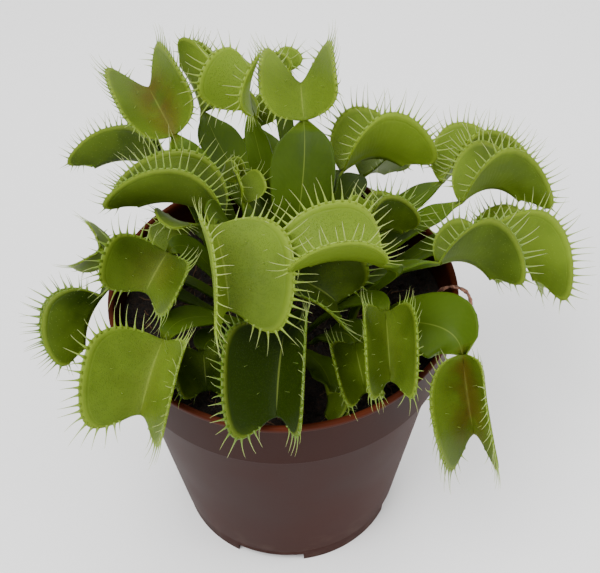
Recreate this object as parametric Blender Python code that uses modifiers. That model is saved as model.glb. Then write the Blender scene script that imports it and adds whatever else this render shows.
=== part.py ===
"""A Venus flytrap growing in a 9 cm plastic nursery pot.

The pot is one moulded shell with a collar, a rolled lip and a notched foot ring.
The peat fills it to just below the lip.  Every leaf is one piece: a flat petiole
blade that narrows to a neck and then opens into the two lobes of its trap.
Lengths are millimetres times MM, so the scene is in metres with +Z up.
The origin is under the middle of the whole plant's box, in the plane that the foot
ring stands on.  The pot is drawn round the axis x = y = 0 and everything is moved last.
"""

import math
from collections import namedtuple

import bmesh
import bpy
import numpy as np

MM = 0.001
GAP = 0.3  # clearance between pieces that touch

# The pot
RIM_RADIUS = 45.0
POT_HEIGHT = 82.0
BASE_RADIUS = 31.0
COLLAR_HEIGHT = 16.8  # depth of the straight band under the lip
COLLAR_FOOT_RADIUS = 43.4
BODY_TOP_RADIUS = 41.4
WALL = 1.5
LEDGE_HEIGHT = 5.6  # the step just above the foot ring
FLOOR_UNDERSIDE = 3.6
FLOOR_TOP = 5.6
ROUND_STEPS = 64

# Gaps in the foot ring that let water out, and the round studs at their ends
NOTCH_COUNT = 4
NOTCH_WIDTH = 19.0
NOTCH_TURN = math.radians(-100.5)
STUD_RADIUS = 3.0
STUD_RING = 26.6
STUD_OFFSET = math.radians(13)

# The peat
SOIL_LEVEL = 72.0
SOIL_CROWN = 0.6  # how much higher the middle of the peat is

# Leaves
LEAF_THICKNESS = 0.8
FOOT_HALF_WIDTH = 1.2
NECK_HALF_WIDTH = 0.7
SHOULDER_AT = 0.72  # where along the petiole its blade is widest
BLADE_END = 0.955
BLADE_FOLD = math.radians(14)
LOBE_CURL = math.radians(40)
BASAL_REACH = 0.14  # how far a lobe reaches past the midrib at the neck, and at the tip
APICAL_REACH = 0.92
LEAF_COLUMNS = 6
BLADE_ROWS = (0, 0.25, 0.48, 0.68, 0.83, 0.94)
TRAP_ROWS = (0, 0.06, 0.2, 0.4, 0.6, 0.8, 0.94, 1)

# root: where the leaf leaves the peat.  neck and tip: the two ends of the trap's midrib.
# mouth: the way the open trap faces.  gape: half the angle between its lobes, in degrees.
# lobe: one lobe's width.  bow: rise of the midrib over its length.  blade: petiole width.
# reach: how far the lobes run on past the tip of the midrib, where it is not APICAL_REACH.
Leaf = namedtuple("Leaf", "name root neck tip mouth gape lobe bow blade reach", defaults=(APICAL_REACH,))
LEAVES = (
    Leaf("back_left_open", (-8.8, 9), (-26.7, 24.3, 113), (-33.4, 37.2, 118), (-1, -4.5, 8.8), 46, 12.5, 0.06, 10, 1.5),
    Leaf("back_left_upright", (-1, 19), (-20.6, 42.5, 106), (-26.5, 53.5, 113.5), (9, -2, 4), 16, 9.5, 0.06, 15),
    Leaf("back_cupped", (0, 11), (-7.2, 26, 119), (-6.4, 31, 129), (-7, -6, 3.7), 38, 12.5, 0.12, 6.5),
    Leaf("back_small", (5, 20), (-0.5, 57.5, 106), (-2, 60, 110), (6, 2, 8), 40, 8, 0.1, 5),
    Leaf("back_tall", (2, 5), (6.1, 24.3, 117), (5.5, 32.8, 121.7), (-1, -4, 9), 45, 13.5, 0.06, 17, 2.3),
    Leaf("back_right", (5, 9), (15.5, 21, 103), (32, 28, 98.5), (1, 6, 8.5), 35, 15, 0.16, 11),
    Leaf("right_pale", (13, 12), (42.5, 28.2, 92), (60, 35.8, 89.5), (1, 5, 8), 36, 12.5, 0.18, 9),
    Leaf("right_upper", (11, 4), (45.5, 13.3, 98.5), (62, 17.8, 94.5), (2, 6, 8), 36, 13.5, 0.22, 8.5),
    Leaf("right_lower", (12, 0), (38, -7, 97.3), (52, -6.7, 90.8), (3, 8, 7), 38, 13.5, 0.18, 8.5),
    Leaf("right_outer", (19, 3), (50, 11.4, 86.6), (67, 8.2, 74.2), (5, 7, 6.5), 38, 14.5, 0.18, 8),
    Leaf("right_inner", (8, 3.5), (21.2, 2.5, 97.5), (30.5, 4.3, 97), (0, 6, 8), 34, 11, 0.14, 5),
    Leaf("centre_bright", (17.5, -4.2), (23, -18.5, 109), (6.3, -20, 111), (0, 2, 10), 40, 13.5, 0.1, 4),
    Leaf("centre_shaded", (1, -3), (3.5, -11.5, 97), (13, -14.5, 91.5), (4, -3, 9), 44, 14, 0.1, 7),
    Leaf("centre_large", (-3.5, -4), (-15.8, -9.5, 113.5), (-12.3, -26.5, 103), (6, -4, 7), 40, 17, 0.06, 7),
    Leaf("left_open", (-9.5, -5.2), (-28, -2.8, 98), (-33.3, -10.5, 92.4), (-2, -6, 8), 46, 15, 0.06, 6),
    Leaf("front_left", (-6, -7), (-28.3, -24.5, 90.6), (-33.5, -39.5, 81.6), (-3.3, -7, 6.3), 42, 17.5, 0.06, 7.5),
    Leaf("left_drooping", (-13, -4), (-45, -9, 90), (-49.5, -19, 81), (-9, -1, 3), 13, 11.5, 0.1, 6),
    Leaf("left_young", (-14, 2), (-42, 1.5, 93), (-45, -0.5, 97.5), (-9, 1, 4), 38, 10, 0.1, 6.5),
    Leaf("left_closed", (-15.5, 8.5), (-32, 29.7, 98), (-50.5, 33.7, 95), (-1, 6, 8), 13, 9, 0.12, 6),
    Leaf("left_upper", (-9, 5.5), (-14.8, 4.3, 101.6), (-35.8, 8.3, 104), (0, 3, 9), 28, 13, 0.16, 4.5),
    Leaf("left_inner", (-3, 4.5), (-9, 11.5, 101.5), (-10.3, 16.4, 104.3), (5, -2, 8), 36, 6.3, 0.08, 4.5),
    Leaf("left_bud", (-5.5, 12), (-15, 20.5, 102.5), (-13.5, 21.5, 106.5), (8, -1, 5), 25, 5, 0.1, 3.5),
    Leaf("left_small", (-11.5, 6.5), (-23.5, 12, 93), (-30, 14, 95), (-6, -8, 1), 36, 9, 0.1, 4),
    Leaf("front_low_left", (-8, -9), (-19.5, -21.5, 82.2), (-18.5, -31.5, 80.2), (0, -5, 9), 40, 11, 0.06, 8),
    Leaf("front_large", (0, -5.5), (0.5, -23.3, 91.2), (-1.5, -44.3, 86.2), (-3, -6, 8), 38, 16, 0.05, 8),
    Leaf("front_low_right", (7, -11), (17.5, -22.5, 85), (19.5, -34.5, 82), (-2, -4, 9), 28, 10.5, 0.06, 10),
    Leaf("front_right", (6, -7), (24.5, -20.5, 94.5), (24.7, -37.5, 90), (0, -5, 9), 33, 11, 0.06, 5),
    Leaf("front_bud", (5, -14), (11, -32.5, 79), (10, -37.5, 77), (9, -1, 3), 12, 5, 0.08, 10),
    Leaf("right_hanging", (13, -7), (43, -27, 86), (46, -37.5, 69), (-3, -6, 7), 27, 14.5, 0.06, 18),
    Leaf("centre_bud", (5, -1.5), (19.5, -0.5, 108), (20.5, 1, 110.5), (0, -2, 10), 30, 5.5, 0.1, 3.5),
    Leaf("rear_left", (-8, 22), (-7, 54, 91), (-9, 59.5, 95), (2, 3, 8), 30, 9, 0.06, 14),
    Leaf("rear_right", (9, 16), (22, 37, 87), (29, 46, 80), (3, 5, 8), 34, 11, 0.08, 9),
)

# A dried stalk that arches from the peat over the lip
STALK_ROUTE = (
    (38.0, -3.0, 73.4), (38.6, -2.8, 79.0), (40.4, -2.9, 83.2), (43.4, -3.6, 84.9),
    (46.3, -4.8, 84.2), (47.6, -6.0, 81.6), (47.9, -7.0, 78.6),
)
STALK_RADIUS = 0.7
STALK_STEPS = 3  # points read from the smooth route between two of its own points


def unit(vector):
    vector = np.asarray(vector, float)
    return vector / np.linalg.norm(vector)


def smooth(x):
    x = np.clip(x, 0, 1)
    return x * x * (3 - 2 * x)


# ---------------------------------------------------------------- leaf shape

def blade_half_width(tau, widest):
    """Half the petiole's width: a narrow foot, a broad shoulder and a thin neck."""
    growing = FOOT_HALF_WIDTH + (widest - FOOT_HALF_WIDTH) * smooth(tau / SHOULDER_AT)
    past = np.clip((tau - SHOULDER_AT) / (BLADE_END - SHOULDER_AT), 0, 1)
    closing = NECK_HALF_WIDTH + (widest - NECK_HALF_WIDTH) * np.sqrt(1 - past**2)
    return np.where(tau < SHOULDER_AT, growing, closing)


def petiole(leaf, tau, across, mouth):
    """Points of the blade: a cubic from the root to the neck, turning to face as the trap does."""
    root = np.array([*leaf.root, SOIL_LEVEL + SOIL_CROWN + GAP + 0.1])
    neck, tip = np.array(leaf.neck, float), np.array(leaf.tip, float)
    chord = neck - root
    level = np.hypot(chord[0], chord[1])
    outward = np.array([chord[0], chord[1], 0]) / level
    lean = min(math.radians(88), math.atan2(chord[2], level) + math.radians(18))
    start = math.cos(lean) * outward + math.sin(lean) * np.array([0, 0, 1])
    arrive = unit(unit(tip - neck) + mouth * 2.4 * leaf.bow)
    span = np.linalg.norm(chord)
    handle_a = root + start * span * 0.4
    handle_b = neck - arrive * span * 0.3
    tau = np.asarray(tau, float)[:, None]
    left = 1 - tau
    centre = left**3 * root + 3 * left**2 * tau * handle_a + 3 * left * tau**2 * handle_b + tau**3 * neck
    along = left**2 * (handle_a - root) + 2 * left * tau * (handle_b - handle_a) + tau**2 * (neck - handle_b)
    along /= np.linalg.norm(along, axis=1)[:, None]
    inner = np.array([0, 0, 1]) * math.cos(lean) - outward * math.sin(lean)
    turn = 0.35 * smooth(tau / 0.8) + 0.65 * smooth((tau - 0.8) / 0.2)
    normal = inner * (1 - turn) + mouth * turn
    normal -= along * np.sum(normal * along, axis=1)[:, None]
    normal /= np.linalg.norm(normal, axis=1)[:, None]
    side = np.cross(along, normal)
    offset = blade_half_width(tau, leaf.blade / 2) * across
    return (
        centre[:, None, :]
        + side[:, None, :] * (offset * math.cos(BLADE_FOLD))[:, :, None]
        + normal[:, None, :] * (np.abs(offset) * math.sin(BLADE_FOLD))[:, :, None]
    )


def lobe_margin(s, apical=APICAL_REACH):
    """Edge of a lobe laid flat, s from neck to tip: distance along the midrib, and across it."""
    angle = np.pi * s
    past = np.where(s < 0.5, BASAL_REACH, apical)
    reach = 0.5 + past * np.sin(angle)
    return 0.5 - reach * np.cos(angle), np.sin(angle) ** 0.8


def trap(leaf, s, across, mouth):
    """Points of both lobes.  across runs from one margin (-1) over the midrib (0) to the other (1)."""
    neck, tip = np.array(leaf.neck, float), np.array(leaf.tip, float)
    length = np.linalg.norm(tip - neck)
    along = (tip - neck) / length
    side = np.cross(along, mouth)
    s = np.asarray(s, float)[:, None]
    out = np.abs(across)
    edge_along, edge_out = lobe_margin(np.clip(s, 0, 1), leaf.reach)
    a = s + out * (edge_along - s)
    reach = out * edge_out
    # The lobe leaves the midrib at gape + half its curl, and bends back towards the mouth.
    first = math.radians(leaf.gape) + LOBE_CURL / 2
    last = first - LOBE_CURL * reach
    rise = leaf.lobe * (np.sin(first) - np.sin(last)) / LOBE_CURL
    spread = leaf.lobe * (np.cos(last) - np.cos(first)) / LOBE_CURL
    joint = NECK_HALF_WIDTH * out * np.clip(1 - edge_out / 0.3, 0, 1)
    rise += leaf.bow * length * 4 * a * (1 - a)
    spread = (spread + joint) * np.sign(across)
    return neck + along * (length * a)[..., None] + mouth * rise[..., None] + side * spread[..., None]


def leaf_surface(leaf, blade_rows, trap_rows, columns):
    """The leaf's middle surface as rows of points, from the root to the tip of the trap."""
    across = np.linspace(-1, 1, columns + 1)[None, :]
    along = unit(np.subtract(leaf.tip, leaf.neck))
    mouth = np.array(leaf.mouth, float)
    mouth = unit(mouth - along * (mouth @ along))
    return np.concatenate([petiole(leaf, blade_rows, across, mouth), trap(leaf, trap_rows, across, mouth)])


# ------------------------------------------------------------------ building

def fresh_collection(name):
    collection = bpy.data.collections.new(name)
    bpy.context.scene.collection.children.link(collection)
    return collection


def make_material(name, colour, roughness):
    material = bpy.data.materials.new(name)
    material.use_nodes = True
    shader = material.node_tree.nodes["Principled BSDF"]
    shader.inputs["Base Color"].default_value = (*colour, 1)
    shader.inputs["Roughness"].default_value = roughness
    shader.inputs["Metallic"].default_value = 0
    return material


def add_object(name, mesh, collection, material=None):
    piece = bpy.data.objects.new(name, mesh)
    collection.objects.link(piece)
    if material:
        mesh.materials.append(material)
    return piece


def turned(name, profile, collection, material, steps=ROUND_STEPS):
    """A solid of revolution from (radius, height) points, running down its outer side."""
    mesh = bpy.data.meshes.new(name)
    mesh.from_pydata([(r * MM, 0, z * MM) for r, z in profile], [(i, i + 1) for i in range(len(profile) - 1)], [])
    piece = add_object(name, mesh, collection, material)
    screw = piece.modifiers.new("Turn", "SCREW")
    screw.steps = screw.render_steps = steps
    screw.use_merge_vertices = True
    screw.merge_threshold = 0.0001
    return piece


def boolean(piece, other, operation):
    other.hide_render = True
    other.display_type = "WIRE"
    step = piece.modifiers.new(other.name, "BOOLEAN")
    step.object = other
    step.operation = operation
    step.solver = "EXACT"


def build_pot(collection, helpers, material):
    collar_foot = POT_HEIGHT - COLLAR_HEIGHT
    profile = [
        (0, FLOOR_TOP),
        (BASE_RADIUS - 0.6, FLOOR_TOP),
        (BODY_TOP_RADIUS - WALL, collar_foot - 0.3),
        (COLLAR_FOOT_RADIUS - WALL + 0.4, collar_foot + 1.5),
        (RIM_RADIUS - 1.6, POT_HEIGHT - 0.6),
        (RIM_RADIUS - 1.2, POT_HEIGHT),
        (RIM_RADIUS - 0.4, POT_HEIGHT),
        (RIM_RADIUS, POT_HEIGHT - 0.5),
        (RIM_RADIUS - 0.1, POT_HEIGHT - 1.6),
        (RIM_RADIUS - 0.7, POT_HEIGHT - 2.1),
        (COLLAR_FOOT_RADIUS, collar_foot + 0.6),
        (COLLAR_FOOT_RADIUS - 0.5, collar_foot),
        (BODY_TOP_RADIUS, collar_foot - 0.4),
        (BASE_RADIUS + 1.0, LEDGE_HEIGHT + 0.5),
        (BASE_RADIUS + 0.4, LEDGE_HEIGHT),
        (BASE_RADIUS, 0),
        (BASE_RADIUS - 1.6, 0),
        (BASE_RADIUS - 1.4, FLOOR_UNDERSIDE),
        (0, FLOOR_UNDERSIDE),
    ]
    pot = turned("nursery_pot", profile, collection, material)
    step = 2 * math.pi / NOTCH_COUNT
    for index in range(NOTCH_COUNT):
        angle = NOTCH_TURN + index * step
        bpy.ops.mesh.primitive_cube_add(size=1)
        notch = bpy.context.object
        notch.name = f"notch_cutter_{index + 1}"
        notch.scale = (8 * MM, NOTCH_WIDTH * MM, 2 * (FLOOR_UNDERSIDE - 0.5) * MM)
        notch.rotation_euler = (0, 0, angle)
        notch.location = (BASE_RADIUS * math.cos(angle) * MM, BASE_RADIUS * math.sin(angle) * MM, 0)
        move_to(notch, helpers)
        boolean(pot, notch, "DIFFERENCE")
    for index in range(2 * NOTCH_COUNT):
        angle = NOTCH_TURN + (index // 2) * step + (STUD_OFFSET if index % 2 else -STUD_OFFSET)
        height = FLOOR_UNDERSIDE + 0.8
        bpy.ops.mesh.primitive_cone_add(
            vertices=20, radius1=(STUD_RADIUS - 0.6) * MM, radius2=STUD_RADIUS * MM, depth=height * MM,
            location=(STUD_RING * math.cos(angle) * MM, STUD_RING * math.sin(angle) * MM, height / 2 * MM),
        )
        stud = bpy.context.object
        stud.name = f"stud_{index + 1}"
        move_to(stud, helpers)
        boolean(pot, stud, "UNION")


def move_to(piece, collection):
    for owner in list(piece.users_collection):
        owner.objects.unlink(piece)
    collection.objects.link(piece)


def build_soil(collection, material):
    collar_foot = POT_HEIGHT - COLLAR_HEIGHT
    wall_at_level = RIM_RADIUS - 1.6 - (POT_HEIGHT - 0.6 - SOIL_LEVEL) * 0.075
    turned("peat_soil", [
        (0, SOIL_LEVEL + SOIL_CROWN),
        (14, SOIL_LEVEL + SOIL_CROWN),
        (30, SOIL_LEVEL + 0.2),
        (wall_at_level - GAP - 0.3, SOIL_LEVEL - 0.4),
        (COLLAR_FOOT_RADIUS - WALL + 0.2 - GAP, collar_foot + 1.8),
        (BODY_TOP_RADIUS - WALL - 2 * GAP, collar_foot - 0.2),
        (BASE_RADIUS - 0.6 - 2 * GAP, FLOOR_TOP + GAP),
        (0, FLOOR_TOP + GAP),
    ], collection, material, steps=48)


def build_leaf(leaf, collection, material):
    """A grid bent into the leaf's middle surface, given its thickness by Solidify."""
    points = leaf_surface(leaf, BLADE_ROWS, TRAP_ROWS, LEAF_COLUMNS) * MM
    rows = len(points) - 1
    sheet = bmesh.new()
    bmesh.ops.create_grid(sheet, x_segments=LEAF_COLUMNS, y_segments=rows, size=1)
    for vertex in sheet.verts:
        column = round((vertex.co.x + 1) / 2 * LEAF_COLUMNS)
        row = round((vertex.co.y + 1) / 2 * rows)
        vertex.co = points[row, column]
    mesh = bpy.data.meshes.new("leaf_" + leaf.name)
    sheet.to_mesh(mesh)
    sheet.free()
    mesh.shade_smooth()
    piece = add_object("leaf_" + leaf.name, mesh, collection, material)
    shell = piece.modifiers.new("Thickness", "SOLIDIFY")
    shell.thickness = LEAF_THICKNESS * MM
    shell.offset = 0


def smooth_route(points, steps):
    """Points of a Catmull-Rom curve through the route's own points."""
    points = np.array(points, float)
    padded = np.concatenate([[2 * points[0] - points[1]], points, [2 * points[-1] - points[-2]]])
    route = []
    for a, b, c, d in zip(padded, padded[1:], padded[2:], padded[3:]):
        for t in np.arange(steps) / steps:
            route.append(
                0.5 * (2 * b + (c - a) * t + (2 * a - 5 * b + 4 * c - d) * t**2 + (3 * b - a - 3 * c + d) * t**3)
            )
    return [*route, points[-1]]


def build_stalk(collection, material):
    curve = bpy.data.curves.new("dried_stalk", "CURVE")
    curve.dimensions = "3D"
    curve.bevel_depth = STALK_RADIUS * MM
    curve.bevel_resolution = 2
    curve.use_fill_caps = True
    route = smooth_route(STALK_ROUTE, STALK_STEPS)
    spline = curve.splines.new("POLY")
    spline.points.add(len(route) - 1)
    for point, place in zip(spline.points, route):
        point.co = (*(place * MM), 1)
    stalk = bpy.data.objects.new("dried_stalk", curve)
    curve.materials.append(material)
    collection.objects.link(stalk)


def centre_over_origin():
    """Moves every piece so that the middle of the visible pieces' box is over the origin."""
    bpy.context.view_layer.update()
    graph = bpy.context.evaluated_depsgraph_get()
    corners = []
    for piece in bpy.data.objects:
        if not piece.hide_render:
            shaped = piece.evaluated_get(graph)
            mesh = shaped.to_mesh()
            places = np.array([piece.matrix_world @ vertex.co for vertex in mesh.vertices])
            corners += [places.min(axis=0), places.max(axis=0)]
            shaped.to_mesh_clear()
    middle = (np.min(corners, axis=0) + np.max(corners, axis=0)) / 2
    for piece in bpy.data.objects:
        piece.location.x -= middle[0]
        piece.location.y -= middle[1]


def main():
    for old in list(bpy.data.objects):
        bpy.data.objects.remove(old)
    plant = fresh_collection("potted_venus_flytrap")
    helpers = fresh_collection("cutters")
    build_pot(plant, helpers, make_material("brown_plastic", (0.075, 0.036, 0.028), 0.45))
    build_soil(plant, make_material("peat", (0.012, 0.009, 0.007), 0.95))
    green = make_material("leaf_green", (0.17, 0.28, 0.03), 0.45)
    for leaf in LEAVES:
        build_leaf(leaf, plant, green)
    build_stalk(plant, make_material("dry_stalk", (0.16, 0.08, 0.045), 0.8))
    centre_over_origin()


main()
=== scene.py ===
"""The looks of the potted Venus flytrap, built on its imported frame.

Every leaf of the frame is replaced by a fine one of the same shape, with teeth round
its trap, and the pot, the peat and the dried stalk by detailed ones.
Lengths in the tables are millimetres; MM turns them into the frame's metres.
"""

import math
from collections import namedtuple

import bmesh
import bpy
import numpy as np
from mathutils import Matrix, Vector, noise


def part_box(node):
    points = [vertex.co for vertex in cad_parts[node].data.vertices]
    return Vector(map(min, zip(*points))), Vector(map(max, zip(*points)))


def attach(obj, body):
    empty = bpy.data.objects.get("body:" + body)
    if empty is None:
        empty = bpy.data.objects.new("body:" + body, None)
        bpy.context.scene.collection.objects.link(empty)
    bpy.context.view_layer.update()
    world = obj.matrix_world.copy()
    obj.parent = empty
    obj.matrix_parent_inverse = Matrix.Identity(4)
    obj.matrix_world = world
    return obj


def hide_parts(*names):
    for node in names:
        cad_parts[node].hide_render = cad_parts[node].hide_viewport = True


MM = 0.001
GAP = 0.3

# The pot, as in the frame
RIM_RADIUS = 45.0
POT_HEIGHT = 82.0
BASE_RADIUS = 31.0
COLLAR_HEIGHT = 16.8
COLLAR_FOOT_HEIGHT = POT_HEIGHT - COLLAR_HEIGHT
COLLAR_FOOT_RADIUS = 43.4
BODY_TOP_RADIUS = 41.4
WALL = 1.5
MOUTH_RADIUS = RIM_RADIUS - 1.6
MOUTH_HEIGHT = POT_HEIGHT - 0.6
LEDGE_HEIGHT = 5.6
FLOOR_UNDERSIDE = 3.6
FLOOR_TOP = 5.6
NOTCH_COUNT = 4
NOTCH_WIDTH = 19.0
NOTCH_DEPTH = 8.0
NOTCH_HEIGHT = FLOOR_UNDERSIDE - 0.5
NOTCH_TURN = math.radians(-100.5)
STUD_RADIUS = 3.0
STUD_TAPER = 0.6
STUD_SINK = 0.8  # how far a stud runs up into the floor
STUD_RING = 26.6
STUD_OFFSET = math.radians(13)
POT_STEPS = 192
SHARPEST_SMOOTH_EDGE = math.radians(35)

# The peat
SOIL_LEVEL = 72.0
SOIL_CROWN = 0.6
CROWN_RADIUS = 34.0
SOIL_DROP = 0.3  # of the rough top, below the frame's smooth one
HIGHEST_BUMP = 1.6
COLLAR_INNER_SLOPE = 0.075
LITTER_LIMIT = MOUTH_RADIUS - 2.2
SOIL_RINGS, SOIL_STEPS = 84, 220
FIBRE_COUNT = 420
CRUMB_COUNT = 520
LITTER_SEED = 11
FIRST_LEAF_SEED = 100

# Leaves, as in the frame
FOOT_HALF_WIDTH = 1.2
NECK_HALF_WIDTH = 0.7
SHOULDER_AT = 0.72
BLADE_END = 0.955
BLADE_FOLD = math.radians(14)
LOBE_CURL = math.radians(40)
BASAL_REACH = 0.14
APICAL_REACH = 0.92
ROOT_LIFT = 0.4  # of a leaf's foot, above the crown of the peat
# The petiole's curve: how steeply it leaves the peat, and its handles as shares of its span
STEEPEST_START = math.radians(88)
START_ABOVE_CHORD = math.radians(18)
ROOT_HANDLE = 0.4
NECK_HANDLE = 0.3
# Its turn to face as the trap does: a share of it up to here, and the rest beyond
EARLY_TURN = 0.35
EARLY_TURN_END = 0.8

# Fineness and thickness of the leaves here
FINE_COLUMNS = 28
FINE_BLADE_ROWS = 26
FINE_TRAP_ROWS = 36
LEAF_THICKNESS = 0.55
MIDRIB_THICKNESS = 1.25
MIDRIB_HALF_WIDTH = 0.9

# Unevenness of the leaves: how high, and how many times along the leaf
LOBE_SWELL, LOBE_SWELLS = 0.16, 2.1
VEIN_PUCKER, VEIN_PUCKERS = 0.03, 11
BLADE_WAVE, BLADE_WAVES = 0.34, 2.4
FULL_WAVE_BLADE = 9.0  # a narrower blade has lower waves

# Teeth
FULL_LOBE = 16.0  # width of the lobe that the sizes below belong to
TOOTH_SPACING = 1.75
TOOTH_LENGTH = 7.0
TOOTH_HALF_WIDTH = 0.34
SHORTEST_TOOTH = 0.7
TEETH_START = 0.075  # share of the margin that is bare at the neck
TEETH_SHARE = 0.86  # share of the margin that has teeth
BEAD_HALF_WIDTH = 0.18
TOOTH_STEPS = 8
TOOTH_SIDES = 6
TRIGGER_HAIRS = ((0.36, 0.42), (0.52, 0.58), (0.64, 0.38))  # along the trap, and out from its midrib
TRIGGER_HAIR_LENGTH = 1.5
HAIRLESS_LOBE = 8.0  # a lobe no wider than this has no trigger hairs

# root: where the leaf leaves the peat.  neck and tip: the two ends of the trap's midrib.
# mouth: the way the open trap faces.  gape: half the angle between its lobes, in degrees.
# lobe: one lobe's width.  bow: rise of the midrib over its length.  blade: petiole width.
# reach: how far the lobes run on past the tip of the midrib, where it is not APICAL_REACH.
Leaf = namedtuple("Leaf", "name root neck tip mouth gape lobe bow blade reach", defaults=(APICAL_REACH,))
LEAVES = (
    Leaf(
        "back_left_open", (-8.8, 9), (-26.7, 24.3, 113), (-33.4, 37.2, 118), (-1, -4.5, 8.8),
        46, 12.5, 0.06, 10, 1.5,
    ),
    Leaf(
        "back_left_upright", (-1, 19), (-20.6, 42.5, 106), (-26.5, 53.5, 113.5), (9, -2, 4),
        16, 9.5, 0.06, 15,
    ),
    Leaf("back_cupped", (0, 11), (-7.2, 26, 119), (-6.4, 31, 129), (-7, -6, 3.7), 38, 12.5, 0.12, 6.5),
    Leaf("back_small", (5, 20), (-0.5, 57.5, 106), (-2, 60, 110), (6, 2, 8), 40, 8, 0.1, 5),
    Leaf("back_tall", (2, 5), (6.1, 24.3, 117), (5.5, 32.8, 121.7), (-1, -4, 9), 45, 13.5, 0.06, 17, 2.3),
    Leaf("back_right", (5, 9), (15.5, 21, 103), (32, 28, 98.5), (1, 6, 8.5), 35, 15, 0.16, 11),
    Leaf("right_pale", (13, 12), (42.5, 28.2, 92), (60, 35.8, 89.5), (1, 5, 8), 36, 12.5, 0.18, 9),
    Leaf("right_upper", (11, 4), (45.5, 13.3, 98.5), (62, 17.8, 94.5), (2, 6, 8), 36, 13.5, 0.22, 8.5),
    Leaf("right_lower", (12, 0), (38, -7, 97.3), (52, -6.7, 90.8), (3, 8, 7), 38, 13.5, 0.18, 8.5),
    Leaf("right_outer", (19, 3), (50, 11.4, 86.6), (67, 8.2, 74.2), (5, 7, 6.5), 38, 14.5, 0.18, 8),
    Leaf("right_inner", (8, 3.5), (21.2, 2.5, 97.5), (30.5, 4.3, 97), (0, 6, 8), 34, 11, 0.14, 5),
    Leaf("centre_bright", (17.5, -4.2), (23, -18.5, 109), (6.3, -20, 111), (0, 2, 10), 40, 13.5, 0.1, 4),
    Leaf("centre_shaded", (1, -3), (3.5, -11.5, 97), (13, -14.5, 91.5), (4, -3, 9), 44, 14, 0.1, 7),
    Leaf("centre_large", (-3.5, -4), (-15.8, -9.5, 113.5), (-12.3, -26.5, 103), (6, -4, 7), 40, 17, 0.06, 7),
    Leaf("left_open", (-9.5, -5.2), (-28, -2.8, 98), (-33.3, -10.5, 92.4), (-2, -6, 8), 46, 15, 0.06, 6),
    Leaf(
        "front_left", (-6, -7), (-28.3, -24.5, 90.6), (-33.5, -39.5, 81.6), (-3.3, -7, 6.3),
        42, 17.5, 0.06, 7.5,
    ),
    Leaf("left_drooping", (-13, -4), (-45, -9, 90), (-49.5, -19, 81), (-9, -1, 3), 13, 11.5, 0.1, 6),
    Leaf("left_young", (-14, 2), (-42, 1.5, 93), (-45, -0.5, 97.5), (-9, 1, 4), 38, 10, 0.1, 6.5),
    Leaf("left_closed", (-15.5, 8.5), (-32, 29.7, 98), (-50.5, 33.7, 95), (-1, 6, 8), 13, 9, 0.12, 6),
    Leaf("left_upper", (-9, 5.5), (-14.8, 4.3, 101.6), (-35.8, 8.3, 104), (0, 3, 9), 28, 13, 0.16, 4.5),
    Leaf("left_inner", (-3, 4.5), (-9, 11.5, 101.5), (-10.3, 16.4, 104.3), (5, -2, 8), 36, 6.3, 0.08, 4.5),
    Leaf("left_bud", (-5.5, 12), (-15, 20.5, 102.5), (-13.5, 21.5, 106.5), (8, -1, 5), 25, 5, 0.1, 3.5),
    Leaf("left_small", (-11.5, 6.5), (-23.5, 12, 93), (-30, 14, 95), (-6, -8, 1), 36, 9, 0.1, 4),
    Leaf("front_low_left", (-8, -9), (-19.5, -21.5, 82.2), (-18.5, -31.5, 80.2), (0, -5, 9), 40, 11, 0.06, 8),
    Leaf("front_large", (0, -5.5), (0.5, -23.3, 91.2), (-1.5, -44.3, 86.2), (-3, -6, 8), 38, 16, 0.05, 8),
    Leaf("front_low_right", (7, -11), (17.5, -22.5, 85), (19.5, -34.5, 82), (-2, -4, 9), 28, 10.5, 0.06, 10),
    Leaf("front_right", (6, -7), (24.5, -20.5, 94.5), (24.7, -37.5, 90), (0, -5, 9), 33, 11, 0.06, 5),
    Leaf("front_bud", (5, -14), (11, -32.5, 79), (10, -37.5, 77), (9, -1, 3), 12, 5, 0.08, 10),
    Leaf("right_hanging", (13, -7), (43, -27, 86), (46, -37.5, 69), (-3, -6, 7), 27, 14.5, 0.06, 18),
    Leaf("centre_bud", (5, -1.5), (19.5, -0.5, 108), (20.5, 1, 110.5), (0, -2, 10), 30, 5.5, 0.1, 3.5),
    Leaf("rear_left", (-8, 22), (-7, 54, 91), (-9, 59.5, 95), (2, 3, 8), 30, 9, 0.06, 14),
    Leaf("rear_right", (9, 16), (22, 37, 87), (29, 46, 80), (3, 5, 8), 34, 11, 0.08, 9),
)

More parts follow.
